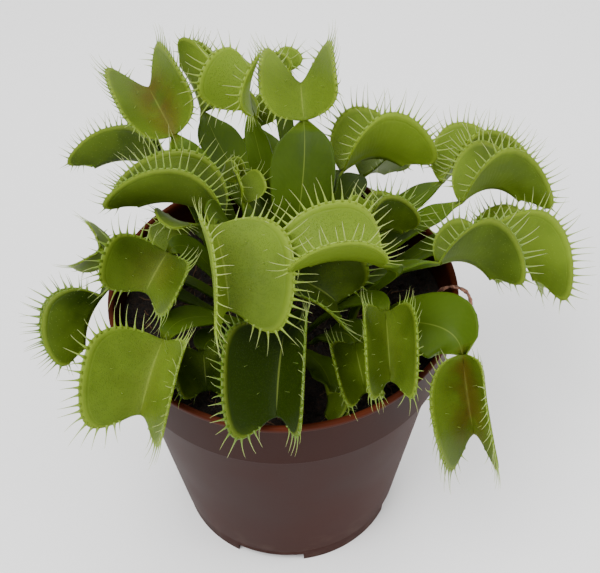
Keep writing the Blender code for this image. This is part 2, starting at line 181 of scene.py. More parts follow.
# For each leaf: how light its trap is (0 deep green to 1 pale yellow-green), how red the trap
# is inside, and how light its blade is.  The two lightness values are partly the leaf's own green
# and partly painted light and shade: a leaf that lies in shade, such as centre_shaded or right_inner,
# is given a darker value.
LEAF_TONES_AND_SHADE = {
    "back_left_open": (0.5, 0.8, 0.8), "back_left_upright": (0.55, 0.2, 0.75),
    "back_cupped": (0.92, 0, 0.6), "back_small": (0.7, 0, 0.6), "back_tall": (0.76, 0, 0.58),
    "back_right": (0.75, 0, 0.6), "right_pale": (1.0, 0, 0.85), "right_upper": (0.64, 0, 1.0),
    "right_lower": (0.25, 0, 0.9), "right_outer": (0.74, 0, 0.8), "right_inner": (0.15, 0, 0.8),
    "centre_bright": (1.0, 0, 0.7), "centre_shaded": (0.15, 0, 0.3), "centre_large": (0.8, 0.1, 0.6),
    "left_open": (0.35, 0.25, 0.5), "front_left": (0.68, 0.15, 0.75), "left_drooping": (0.15, 0, 0.5),
    "left_young": (0.75, 0, 0.6), "left_closed": (0.25, 0, 0.8), "left_upper": (0.36, 0, 0.6),
    "left_inner": (0.6, 0, 0.6), "left_bud": (0.6, 0, 0.6), "left_small": (0.7, 0, 0.6),
    "front_low_left": (0.05, 0, 0.3), "front_large": (0, 0, 0.4), "front_low_right": (0.25, 0, 0.5),
    "front_right": (0.34, 0.1, 0.6), "front_bud": (0.4, 0, 0.7), "right_hanging": (0.66, 0.9, 1.15),
    "centre_bud": (0.7, 0, 0.7), "rear_left": (0.55, 0.1, 1.0), "rear_right": (0.55, 0, 0.6),
}

# The dried stalk, from the peat up and over
STALK_ROUTE = (
    (38.0, -3.0, 73.4), (38.6, -2.8, 79.0), (40.4, -2.9, 83.2), (43.4, -3.6, 84.9),
    (46.3, -4.8, 84.2), (47.6, -6.0, 81.6), (47.9, -7.0, 78.6),
)

# The camera, with its target measured from the pot's axis
CAMERA_TARGET = (4.32, 0.0, 82.27)
CAMERA_DISTANCE = 306.7
CAMERA_ELEVATION = math.radians(46.74)
CAMERA_ROLL = math.radians(-1.08)
CAMERA_LENS = 71.7
CAMERA_SENSOR = 36.0

# The stage
FLOOR_HALF_WIDTH = 2000
WORLD_STRENGTH = 0.9
LAMPS = (  # name, place, width, watts
    ("key", (-220, -260, 640), 420, 5.5),
    ("fill", (420, -120, 360), 360, 1.4),
    ("back", (60, 430, 480), 400, 1.3),
)
LAMP_AIM = Vector((0, 0, 80))


def unit(vector):
    vector = np.asarray(vector, float)
    return vector / np.linalg.norm(vector)


def smooth(x):
    x = np.clip(x, 0, 1)
    return x * x * (3 - 2 * x)


# ---------------------------------------------------------------- leaf shape

def blade_half_width(tau, widest):
    """Half the petiole's width: a narrow foot, a broad shoulder and a thin neck."""
    growing = FOOT_HALF_WIDTH + (widest - FOOT_HALF_WIDTH) * smooth(tau / SHOULDER_AT)
    past = np.clip((tau - SHOULDER_AT) / (BLADE_END - SHOULDER_AT), 0, 1)
    closing = NECK_HALF_WIDTH + (widest - NECK_HALF_WIDTH) * np.sqrt(1 - past**2)
    return np.where(tau < SHOULDER_AT, growing, closing)


def petiole(leaf, tau, across, mouth):
    """Points of the blade: a cubic from the root to the neck, turning to face as the trap does."""
    root = np.array([*leaf.root, SOIL_LEVEL + SOIL_CROWN + ROOT_LIFT])
    neck, tip = np.array(leaf.neck, float), np.array(leaf.tip, float)
    chord = neck - root
    level = np.hypot(chord[0], chord[1])
    outward = np.array([chord[0], chord[1], 0]) / level
    lean = min(STEEPEST_START, math.atan2(chord[2], level) + START_ABOVE_CHORD)
    start = math.cos(lean) * outward + math.sin(lean) * np.array([0, 0, 1])
    arrive = unit(unit(tip - neck) + mouth * 2.4 * leaf.bow)
    span = np.linalg.norm(chord)
    handle_a = root + start * span * ROOT_HANDLE
    handle_b = neck - arrive * span * NECK_HANDLE
    tau = np.asarray(tau, float)[:, None]
    left = 1 - tau
    centre = left**3 * root + 3 * left**2 * tau * handle_a + 3 * left * tau**2 * handle_b + tau**3 * neck
    along = left**2 * (handle_a - root) + 2 * left * tau * (handle_b - handle_a) + tau**2 * (neck - handle_b)
    along /= np.linalg.norm(along, axis=1)[:, None]
    inner = np.array([0, 0, 1]) * math.cos(lean) - outward * math.sin(lean)
    turn = EARLY_TURN * smooth(tau / EARLY_TURN_END)
    turn = turn + (1 - EARLY_TURN) * smooth((tau - EARLY_TURN_END) / (1 - EARLY_TURN_END))
    normal = inner * (1 - turn) + mouth * turn
    normal -= along * np.sum(normal * along, axis=1)[:, None]
    normal /= np.linalg.norm(normal, axis=1)[:, None]
    side = np.cross(along, normal)
    offset = blade_half_width(tau, leaf.blade / 2) * across
    return (
        centre[:, None, :]
        + side[:, None, :] * (offset * math.cos(BLADE_FOLD))[:, :, None]
        + normal[:, None, :] * (np.abs(offset) * math.sin(BLADE_FOLD))[:, :, None]
    )


def lobe_margin(s, apical=APICAL_REACH):
    """Edge of a lobe laid flat, s from neck to tip: distance along the midrib, and across it."""
    angle = np.pi * s
    past = np.where(s < 0.5, BASAL_REACH, apical)
    reach = 0.5 + past * np.sin(angle)
    return 0.5 - reach * np.cos(angle), np.sin(angle) ** 0.8


def trap(leaf, s, across, mouth):
    """Points of both lobes.  across runs from one margin (-1) over the midrib (0) to the other (1)."""
    neck, tip = np.array(leaf.neck, float), np.array(leaf.tip, float)
    length = np.linalg.norm(tip - neck)
    along = (tip - neck) / length
    side = np.cross(along, mouth)
    s = np.asarray(s, float)[:, None]
    out = np.abs(across)
    edge_along, edge_out = lobe_margin(np.clip(s, 0, 1), leaf.reach)
    a = s + out * (edge_along - s)
    reach = out * edge_out
    # The lobe leaves the midrib at gape + half its curl, and bends back towards the mouth.
    first = math.radians(leaf.gape) + LOBE_CURL / 2
    last = first - LOBE_CURL * reach
    rise = leaf.lobe * (np.sin(first) - np.sin(last)) / LOBE_CURL
    spread = leaf.lobe * (np.cos(last) - np.cos(first)) / LOBE_CURL
    joint = NECK_HALF_WIDTH * out * np.clip(1 - edge_out / 0.3, 0, 1)
    rise += leaf.bow * length * 4 * a * (1 - a)
    spread = (spread + joint) * np.sign(across)
    return neck + along * (length * a)[..., None] + mouth * rise[..., None] + side * spread[..., None]


def leaf_mouth(leaf):
    """The way the trap faces, square to its midrib."""
    along = unit(np.subtract(leaf.tip, leaf.neck))
    mouth = np.array(leaf.mouth, float)
    return unit(mouth - along * (mouth @ along))


def leaf_surface(leaf, blade_rows, trap_rows, columns):
    """The leaf's middle surface as rows of points, from the root to the tip of the trap."""
    across = np.linspace(-1, 1, columns + 1)[None, :]
    mouth = leaf_mouth(leaf)
    return np.concatenate([petiole(leaf, blade_rows, across, mouth), trap(leaf, trap_rows, across, mouth)])


# ------------------------------------------------------------------ helpers

def fresh(name, vertices, faces):
    """A smooth mesh object from vertices in millimetres."""
    mesh = bpy.data.meshes.new(name)
    mesh.from_pydata([tuple(v) for v in np.asarray(vertices) * MM], [], faces)
    mesh.update()
    mesh.shade_smooth()
    piece = bpy.data.objects.new(name, mesh)
    bpy.context.scene.collection.objects.link(piece)
    return piece


def put(piece, slot_name, *nodes):
    """Moves a piece onto the frame's pot and rides it on the one body, in place of the nodes."""
    piece.location = pot_axis
    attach(piece, "root")
    if nodes:
        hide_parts(*nodes)


def write_attribute(mesh, name, values):
    layer = mesh.attributes.new(name, "FLOAT_VECTOR", "POINT")
    layer.data.foreach_set("vector", np.asarray(values, np.float32).ravel())


class Nodes:
    """A material's node tree, with short ways to add what the materials here use."""

    def __init__(self, name):
        self.material = bpy.data.materials.new(name)
        self.material.use_nodes = True
        self.tree = self.material.node_tree
        self.shader = self.tree.nodes["Principled BSDF"]

    def add(self, kind, inputs=None, **settings):
        node = self.tree.nodes.new(kind)
        for key, value in settings.items():
            setattr(node, key, value)
        for key, value in (inputs or {}).items():
            self.feed(node.inputs[key], value)
        return node

    def feed(self, socket, value):
        if isinstance(value, bpy.types.NodeSocket):
            self.tree.links.new(value, socket)
        else:
            socket.default_value = value

    def set(self, **values):
        names = {
            "colour": "Base Color", "roughness": "Roughness", "normal": "Normal",
            "specular": "Specular IOR Level", "subsurface": "Subsurface Weight",
            "radius": "Subsurface Radius", "scale": "Subsurface Scale",
        }
        for key, value in values.items():
            self.feed(self.shader.inputs[names[key]], value)

    def maths(self, operation, a, b=0.5, c=0.5):
        return self.add("ShaderNodeMath", {0: a, 1: b, 2: c}, operation=operation).outputs[0]

    def range(self, value, low, high, out_low=0.0, out_high=1.0):
        node = self.add("ShaderNodeMapRange", {
            "Value": value, "From Min": low, "From Max": high, "To Min": out_low, "To Max": out_high,
        }, interpolation_type="SMOOTHSTEP")
        return node.outputs["Result"]

    def mix(self, factor, a, b, blend="MIX"):
        node = self.add("ShaderNodeMix", data_type="RGBA", blend_type=blend)
        self.feed(node.inputs[0], factor)
        self.feed(node.inputs[6], a)
        self.feed(node.inputs[7], b)
        return node.outputs[2]

    def mix_value(self, factor, a, b):
        node = self.add("ShaderNodeMix", data_type="FLOAT")
        self.feed(node.inputs[0], factor)
        self.feed(node.inputs[2], a)
        self.feed(node.inputs[3], b)
        return node.outputs[0]

    def noise(self, scale, detail=3.0, roughness=0.55, vector=None):
        node = self.add("ShaderNodeTexNoise", {"Scale": scale, "Detail": detail, "Roughness": roughness})
        self.feed(node.inputs["Vector"], vector or self.position())
        return node.outputs["Fac"]

    def cells(self, scale):
        """Distance to the nearest of many scattered points."""
        node = self.add("ShaderNodeTexVoronoi", {"Scale": scale, "Vector": self.position()})
        return node.outputs["Distance"]

    def position(self):
        return self.add("ShaderNodeTexCoord").outputs["Object"]

    def stretched(self, height_scale):
        """Positions whose height is scaled, so that a texture on them is drawn out upwards."""
        scale = (1.0, 1.0, height_scale)
        return self.add("ShaderNodeMapping", {"Vector": self.position(), "Scale": scale}).outputs[0]

    def attribute(self, name):
        node = self.add("ShaderNodeAttribute", attribute_name=name)
        return self.add("ShaderNodeSeparateXYZ", {"Vector": node.outputs["Vector"]}).outputs

    def bump(self, height, distance, strength=1.0, normal=None):
        node = self.add("ShaderNodeBump", {"Height": height, "Distance": distance, "Strength": strength})
        if normal:
            self.feed(node.inputs["Normal"], normal)
        return node.outputs["Normal"]


def rgb(red, green, blue):
    """A colour given as a screen's values, 0 to 255, in the linear values that a shader takes."""
    def linear(value):
        value /= 255
        return value / 12.92 if value <= 0.04045 else ((value + 0.055) / 1.055) ** 2.4

    return (linear(red), linear(green), linear(blue), 1.0)


# ---------------------------------------------------------------- materials

def leaf_material(name, inside):
    """Leaf tissue.  The attribute place holds: across the leaf, along it, and 1 on the trap.
    The attribute tint holds the leaf's row of LEAF_TONES_AND_SHADE."""
    n = Nodes(name)
    across, along, part = n.attribute("place")
    # Lightness of the trap and of the blade, partly painted light and shade: leaves that lie in shade are
    # darker
    trap_tone, red, blade_tone = n.attribute("tone_and_shade")
    tone = n.mix_value(part, blade_tone, trap_tone)
    out = n.maths("ABSOLUTE", across)
    mottle = n.noise(90, 4)
    cloud = n.noise(28, 2)
    deep = n.mix(part, rgb(26, 42, 2), rgb(28, 43, 1))
    pale = n.mix(part, rgb(66, 88, 14), rgb(100, 122, 32))
    if not inside:
        pale = n.mix(part, rgb(64, 86, 14), rgb(96, 118, 27))
    level = n.maths("ADD", tone, n.range(cloud, 0.3, 0.7, -0.22, 0.22))
    level = n.maths("ADD", level, n.range(mottle, 0.35, 0.65, -0.1, 0.1))
    colour = n.mix(level, deep, pale)
    # Lighter towards the margin, and a painted highlight along the midrib: a lighter line.
    margin = n.maths("MULTIPLY", n.range(out, 0.86, 0.97), part)
    colour = n.mix(n.maths("MULTIPLY", margin, 0.28), colour, rgb(142, 162, 52))
    midrib = n.range(out, 0.008, 0.03, 1.0, 0.0)
    colour = n.mix(n.maths("MULTIPLY", midrib, 0.3), colour, rgb(140, 156, 60))
    # Veins: across the lobes from the midrib, and slanting outward and forward on the blade.
    out_on_blade = n.maths("MULTIPLY", out, n.maths("SUBTRACT", 1.0, part))
    slant = n.maths("MULTIPLY_ADD", out_on_blade, -0.22, along)
    veins_per_leaf = n.mix_value(part, 150.0, 176.0)
    veins = n.maths("SINE", n.maths("MULTIPLY", slant, veins_per_leaf))
    fine = n.maths("MULTIPLY", veins, n.range(out, 0.02, 0.2))
    colour = n.mix(n.range(fine, 0.2, 1.0, 0.0, 0.02), colour, rgb(30, 50, 6))
    if inside:
        # Digestive glands, and the red flush of a trap grown in strong light.
        glands = n.cells(2600.0)
        stipple = n.maths("MULTIPLY", n.range(glands, 0.15, 0.45, 1.0, 0.0), n.range(out, 0.9, 0.75))
        stipple = n.maths("MULTIPLY", stipple, part)
        blush = n.maths("MULTIPLY", n.range(out, 0.75, 0.05), n.range(n.noise(140, 3), 0.3, 0.6))
        blush = n.maths("MULTIPLY", n.maths("MULTIPLY", blush, red), part)
        colour = n.mix(n.maths("MULTIPLY", blush, 0.6), colour, rgb(84, 44, 14))
        colour = n.mix(n.maths("MULTIPLY", stipple, 0.3), colour, rgb(52, 68, 8))
        pores = n.bump(stipple, 0.00012, 0.5)
        normal = n.bump(fine, 0.00002, 0.3, pores)
    else:
        # Pale specks on the outside.
        colour = n.mix(n.range(n.cells(1500.0), 0.0, 0.22, 0.22, 0.0), colour, rgb(160, 176, 90))
        normal = n.bump(fine, 0.00002, 0.3)
    # A fine groove just inside the margin, and an uneven surface all over.
    from_groove = n.maths("ABSOLUTE", n.maths("SUBTRACT", out, 0.87))
    groove = n.maths("MULTIPLY", n.range(from_groove, 0.0, 0.03, 1.0, 0.0), part)
    normal = n.bump(groove, -0.0001, 0.5, normal)
    normal = n.bump(n.noise(420, 3), 0.0002, 0.35, normal)
    n.set(
        colour=colour, normal=normal, roughness=n.range(mottle, 0.3, 0.7, 0.48, 0.62), specular=0.1,
        subsurface=0.22, radius=(0.7, 1.0, 0.12), scale=0.0014,
    )
    return n.material


def tooth_material():
    """Teeth, trigger hairs and margin.  The second value of place runs from a tooth's base to its tip,
    and the first of tint is how light the trap is."""
    n = Nodes("trap_teeth")
    along = n.attribute("place")[1]
    # How light the trap is, partly painted light and shade, also lightens or darkens its teeth
    tone = n.attribute("tone_and_shade")[0]
    base = n.mix(tone, rgb(82, 108, 22), rgb(126, 148, 40))
    tip = n.mix(tone, rgb(136, 150, 86), rgb(156, 168, 100))
    colour = n.mix(n.range(along, 0.05, 0.85), base, tip)
    colour = n.mix(n.range(n.noise(500, 2), 0.4, 0.65, 0.0, 0.25), colour, rgb(90, 112, 30))
    n.set(
        colour=colour, normal=n.bump(n.noise(1800, 2), 0.0001, 0.4), roughness=0.42, specular=0.4,
        subsurface=0.3, radius=(0.8, 1.0, 0.4), scale=0.0008,
    )
    return n.material


def pot_material():
    n = Nodes("pot_brown_plastic")
    place = n.add("ShaderNodeSeparateXYZ", {"Vector": n.position()}).outputs
    turn = n.maths("ARCTAN2", place[1], place[0])
    cloud = n.noise(18, 3)
    colour = n.mix(n.range(cloud, 0.35, 0.68), rgb(42, 16, 9), rgb(50, 20, 12))
    # A painted glow: the lip is lighter and more orange, as thin plastic looks with light shining through it.
    lip_glow = n.range(place[2], 0.0796, 0.0816)
    colour = n.mix(n.maths("MULTIPLY", lip_glow, 0.55), colour, rgb(84, 36, 16))
    # Fine scuffs that run down the wall, and dust caught low on it.
    scuffs = n.noise(900, 3, 0.6, n.stretched(0.18))
    colour = n.mix(n.range(scuffs, 0.55, 0.75, 0.0, 0.03), colour, rgb(80, 50, 42))
    dust = n.maths("MULTIPLY", n.range(place[2], 0.022, 0.0), n.range(n.noise(160, 4), 0.45, 0.7))
    colour = n.mix(n.maths("MULTIPLY", dust, 0.25), colour, rgb(92, 74, 64))
    # The two parting lines of the mould.
    seam = n.maths("ABSOLUTE", n.maths("SINE", n.maths("ADD", turn, 0.55)))
    ridge = n.range(seam, 0.0, 0.006, 1.0, 0.0)
    normal = n.bump(ridge, 0.0003, 0.5)
    normal = n.bump(n.noise(2400, 2), 0.00005, 0.35, normal)
    normal = n.bump(n.noise(45, 1), 0.0003, 0.15, normal)
    n.set(colour=colour, roughness=n.range(cloud, 0.3, 0.7, 0.5, 0.58), specular=0.05, normal=normal)
    return n.material


def peat_material():
    n = Nodes("peat_dark")
    grain = n.noise(700, 6, 0.7)
    colour = n.mix(n.range(grain, 0.35, 0.7), rgb(12, 9, 7), rgb(42, 30, 22))
    colour = n.mix(n.range(n.noise(1800, 2), 0.62, 0.75, 0.0, 0.6), colour, rgb(80, 60, 40))
    n.set(colour=colour, roughness=n.range(grain, 0.3, 0.7, 0.7, 1.0), specular=0.25,
          normal=n.bump(grain, 0.0012, 0.9))
    return n.material


def fibre_material():
    n = Nodes("peat_fibres")
    colour = n.mix(n.range(n.noise(240, 3), 0.4, 0.62), rgb(34, 22, 14), rgb(84, 60, 38))
    n.set(colour=colour, roughness=0.8, specular=0.3, normal=n.bump(n.noise(2500, 2), 0.0002, 0.5))
    return n.material


def stalk_material():
    n = Nodes("stalk_dried")
    grain = n.noise(1400, 4, 0.6, n.stretched(0.3))
    colour = n.mix(n.range(grain, 0.35, 0.65), rgb(70, 42, 32), rgb(140, 98, 78))
    n.set(colour=colour, roughness=0.62, specular=0.35, normal=n.bump(grain, 0.0003, 0.8))
    return n.material


# --------------------------------------------------------------------- pot

def turned(profile, steps):
    """Vertices and faces of a closed solid of revolution whose profile starts and ends on the axis."""
    inner = profile[1:-1]
    angles = np.arange(steps) * 2 * math.pi / steps
    vertices = [(r * math.cos(a), r * math.sin(a), z) for r, z in inner for a in angles]
    vertices += [(0, 0, profile[0][1]), (0, 0, profile[-1][1])]
    top, bottom = len(vertices) - 2, len(vertices) - 1
    faces = []
    for i in range(steps):
        j = (i + 1) % steps
        faces.append((top, i, j))
        for k in range(len(inner) - 1):
            faces.append((k * steps + i, (k + 1) * steps + i, (k + 1) * steps + j, k * steps + j))
        last = (len(inner) - 1) * steps
        faces.append((bottom, last + j, last + i))
    return vertices, faces


def rounded(profile, radius=0.22, steps=3):
    """The profile with each of its corners turned into a small arc."""
    points = [np.array(p, float) for p in profile]
    result = [points[0]]
    for before, corner, after in zip(points, points[1:], points[2:]):
        into, away = before - corner, after - corner
        cut = min(radius, np.linalg.norm(into) * 0.4, np.linalg.norm(away) * 0.4)
        start, end = corner + unit(into) * cut, corner + unit(away) * cut
        for t in np.linspace(0, 1, steps):
            result.append((1 - t) ** 2 * start + 2 * t * (1 - t) * corner + t**2 * end)
    return [*result, points[-1]]


def build_pot():
    foot = COLLAR_FOOT_HEIGHT
    profile = rounded([
        (0, FLOOR_TOP),
        (BASE_RADIUS - 0.6, FLOOR_TOP),
        (BODY_TOP_RADIUS - WALL, foot - 0.3),
        (COLLAR_FOOT_RADIUS - WALL + 0.4, foot + 1.5),
        (MOUTH_RADIUS, MOUTH_HEIGHT),
        (RIM_RADIUS - 1.2, POT_HEIGHT),
        (RIM_RADIUS - 0.4, POT_HEIGHT),
        (RIM_RADIUS, POT_HEIGHT - 0.5),
        (RIM_RADIUS - 0.1, POT_HEIGHT - 1.6),
        (RIM_RADIUS - 0.7, POT_HEIGHT - 2.1),
        (COLLAR_FOOT_RADIUS, foot + 0.6),
        (COLLAR_FOOT_RADIUS - 0.5, foot),
        (BODY_TOP_RADIUS, foot - 0.4),
        (BASE_RADIUS + 1.0, LEDGE_HEIGHT + 0.5),
        (BASE_RADIUS + 0.4, LEDGE_HEIGHT),
        (BASE_RADIUS, 0),
        (BASE_RADIUS - 1.6, 0),
        (BASE_RADIUS - 1.4, FLOOR_UNDERSIDE),
        (0, FLOOR_UNDERSIDE),
    ])
    pot = fresh("pot", *turned(profile, POT_STEPS))
    helpers = []
    step = 2 * math.pi / NOTCH_COUNT
    for index in range(NOTCH_COUNT):
        angle = NOTCH_TURN + index * step
        bpy.ops.mesh.primitive_cube_add(size=1)
        notch = bpy.context.object
        notch.scale = Vector((NOTCH_DEPTH, NOTCH_WIDTH, 2 * NOTCH_HEIGHT)) * MM
        notch.rotation_euler = (0, 0, angle)
        notch.location = Vector((math.cos(angle), math.sin(angle), 0)) * BASE_RADIUS * MM
        helpers.append((notch, "DIFFERENCE"))
    for index in range(2 * NOTCH_COUNT):
        angle = NOTCH_TURN + (index // 2) * step + (STUD_OFFSET if index % 2 else -STUD_OFFSET)
        height = FLOOR_UNDERSIDE + STUD_SINK
        bpy.ops.mesh.primitive_cone_add(
            vertices=40, radius1=(STUD_RADIUS - STUD_TAPER) * MM, radius2=STUD_RADIUS * MM, depth=height * MM,
            location=(STUD_RING * math.cos(angle) * MM, STUD_RING * math.sin(angle) * MM, height / 2 * MM),
        )
        helpers.append((bpy.context.object, "UNION"))
    for helper, operation in helpers:
        cut = pot.modifiers.new("Cut", "BOOLEAN")
        cut.object = helper
        cut.operation = operation
        cut.solver = "EXACT"
    bpy.context.view_layer.update()
    shaped = bpy.data.meshes.new_from_object(pot.evaluated_get(bpy.context.evaluated_depsgraph_get()))
    pot.modifiers.clear()
    pot.data = shaped
    for helper, _ in helpers:
        bpy.data.objects.remove(helper)
    shaped.set_sharp_from_angle(angle=SHARPEST_SMOOTH_EDGE)
    pot.data.materials.clear()
    pot.data.materials.append(pot_material())
    put(pot, "pot_plastic", "nursery_pot")


# -------------------------------------------------------------------- peat

def soil_height(x, y):
    """Height of the peat's rough top at a point, in millimetres."""
    radius = math.hypot(x, y)
    crown = SOIL_LEVEL + SOIL_CROWN * (1 - smooth(radius / CROWN_RADIUS)) - SOIL_DROP
    rough = noise.fractal(Vector((x, y, 3.0)) * 0.16, 0.9, 2.1, 4)
    grit = noise.fractal(Vector((x, y, 9.0)) * 0.7, 0.8, 2.0, 3) * 0.55
    return crown + min(rough + grit, HIGHEST_BUMP)


def build_soil():
    foot = COLLAR_FOOT_HEIGHT
    wall = MOUTH_RADIUS - (MOUTH_HEIGHT - SOIL_LEVEL) * COLLAR_INNER_SLOPE - GAP
    profile = [(0, SOIL_LEVEL)]
    profile += [(wall * (k / SOIL_RINGS) ** 0.9, SOIL_LEVEL) for k in range(1, SOIL_RINGS + 1)]
    top_count = SOIL_RINGS * SOIL_STEPS
    profile += [
        (wall - 0.1, SOIL_LEVEL - 2.6),
        (COLLAR_FOOT_RADIUS - WALL + 0.2 - GAP, foot + 1.8),
        (BODY_TOP_RADIUS - WALL - 2 * GAP, foot - 0.2),
        (BASE_RADIUS - 0.6 - 2 * GAP, FLOOR_TOP + GAP),
        (0, FLOOR_TOP + GAP),
    ]
    vertices, faces = turned(profile, SOIL_STEPS)
    # turned() puts the centre of the top second from the end.
    vertices = [
        (x, y, soil_height(x, y)) if index < top_count or index == len(vertices) - 2 else (x, y, z)
        for index, (x, y, z) in enumerate(vertices)
    ]
    soil = fresh("peat", vertices, faces)
    soil.data.materials.append(peat_material())
    put(soil, "peat", "peat_soil")


def tube(route, widths, sides=6, depth=1.0, wide=None):
    """Vertices and faces of a closed tube.  wide is the direction of its broad side, and depth its
    other width as a share of the first."""
    route = np.asarray(route, float)
    along = np.gradient(route, axis=0)
    along /= np.linalg.norm(along, axis=1)[:, None]
    if wide is None:
        wide = (0, 0, 1) if abs(along[0][2]) < 0.8 else (1, 0, 0)
    guide = np.array(wide, float)
    side = guide - along * (along @ guide)[:, None]
    side /= np.linalg.norm(side, axis=1)[:, None] + 1e-12
    other = np.cross(along, side)
    angles = np.arange(sides) * 2 * math.pi / sides
    broad = np.cos(angles)[None, :, None] * side[:, None, :]
    narrow = depth * np.sin(angles)[None, :, None] * other[:, None, :]
    ring = broad + narrow
    vertices = (route[:, None, :] + ring * np.asarray(widths, float)[:, None, None]).reshape(-1, 3)
    faces = []
    for k in range(len(route) - 1):
        for i in range(sides):
            j = (i + 1) % sides
            faces.append((k * sides + i, k * sides + j, (k + 1) * sides + j, (k + 1) * sides + i))
    faces.append(tuple(range(sides))[::-1])
    faces.append(tuple((len(route) - 1) * sides + i for i in range(sides)))
    return vertices, faces


class Heap:
    """Collects many small closed shapes into one mesh."""

    def __init__(self):
        self.vertices, self.faces, self.place, self.count = [], [], [], 0

    def add(self, vertices, faces, place=(0, 0, 0)):
        self.faces += [tuple(index + self.count for index in face) for face in faces]
        self.vertices.append(np.asarray(vertices, float))
        self.place.append(np.broadcast_to(np.asarray(place, float), (len(vertices), 3)))
        self.count += len(vertices)

    def piece(self, name):
        result = fresh(name, np.concatenate(self.vertices), self.faces)
        write_attribute(result.data, "place", np.concatenate(self.place))
        return result


def build_litter():
    """Fibres and crumbs that lie on the peat."""
    chance = np.random.default_rng(LITTER_SEED)
    fibres, crumbs = Heap(), Heap()
    for _ in range(FIBRE_COUNT):
        radius, angle = (LITTER_LIMIT - 1) * math.sqrt(chance.random()), chance.random() * 2 * math.pi
        x, y = radius * math.cos(angle), radius * math.sin(angle)
        turn, length, bend = chance.random() * 2 * math.pi, chance.uniform(2, 8), chance.uniform(-0.5, 0.5)
        route = []
        for t in np.linspace(-0.5, 0.5, 7):
            px = x + length * (t * math.cos(turn) - bend * t * t * math.sin(turn))
            py = y + length * (t * math.sin(turn) + bend * t * t * math.cos(turn))
            reach = math.hypot(px, py)
            if reach > LITTER_LIMIT:
                px, py = px * LITTER_LIMIT / reach, py * LITTER_LIMIT / reach
            route.append((px, py, soil_height(px, py) + 0.12 + 0.5 * chance.random() * t))
        thick = chance.uniform(0.08, 0.24)
        fibres.add(*tube(route, [thick * 0.4, *[thick] * 5, thick * 0.3], 5))
    ball = bmesh.new()
    bmesh.ops.create_icosphere(ball, subdivisions=2, radius=1)
    shape = np.array([v.co for v in ball.verts])
    ball_faces = [tuple(v.index for v in face.verts) for face in ball.faces]
    ball.free()
    for _ in range(CRUMB_COUNT):
        radius, angle = (LITTER_LIMIT - 0.5) * math.sqrt(chance.random()), chance.random() * 2 * math.pi
        x, y = radius * math.cos(angle), radius * math.sin(angle)
        size = chance.uniform(0.3, 1.15)
        squash = np.array([1, chance.uniform(0.5, 1), chance.uniform(0.4, 0.8)]) * size
        spin = Matrix.Rotation(chance.random() * 6.28, 3, "Z")
        tilt = Matrix.Rotation(chance.uniform(-0.5, 0.5), 3, "X")
        shift = Vector((x, y, size))
        lumps = np.array([1 + 0.35 * noise.noise(Vector(v * 1.7) + shift) for v in shape])
        place = (x, y, soil_height(x, y) + size * 0.12)
        crumbs.add((shape * lumps[:, None] * squash) @ np.array(spin @ tilt).T + place, ball_faces)
    for heap, name, material in (
        (fibres, "peat_fibres", fibre_material()),
        (crumbs, "peat_crumbs", peat_material()),
    ):
        piece = heap.piece(name)
        piece.data.materials.append(material)
        put(piece, "peat")


# ------------------------------------------------------------------- leaves

def leaf_normals(points):
    """Unit normals of a grid of points, on the side that the trap opens to."""
    down = np.gradient(points, axis=0)
    across = np.gradient(points, axis=1)
    normal = np.cross(across, down)
    return normal / (np.linalg.norm(normal, axis=2)[:, :, None] + 1e-9)


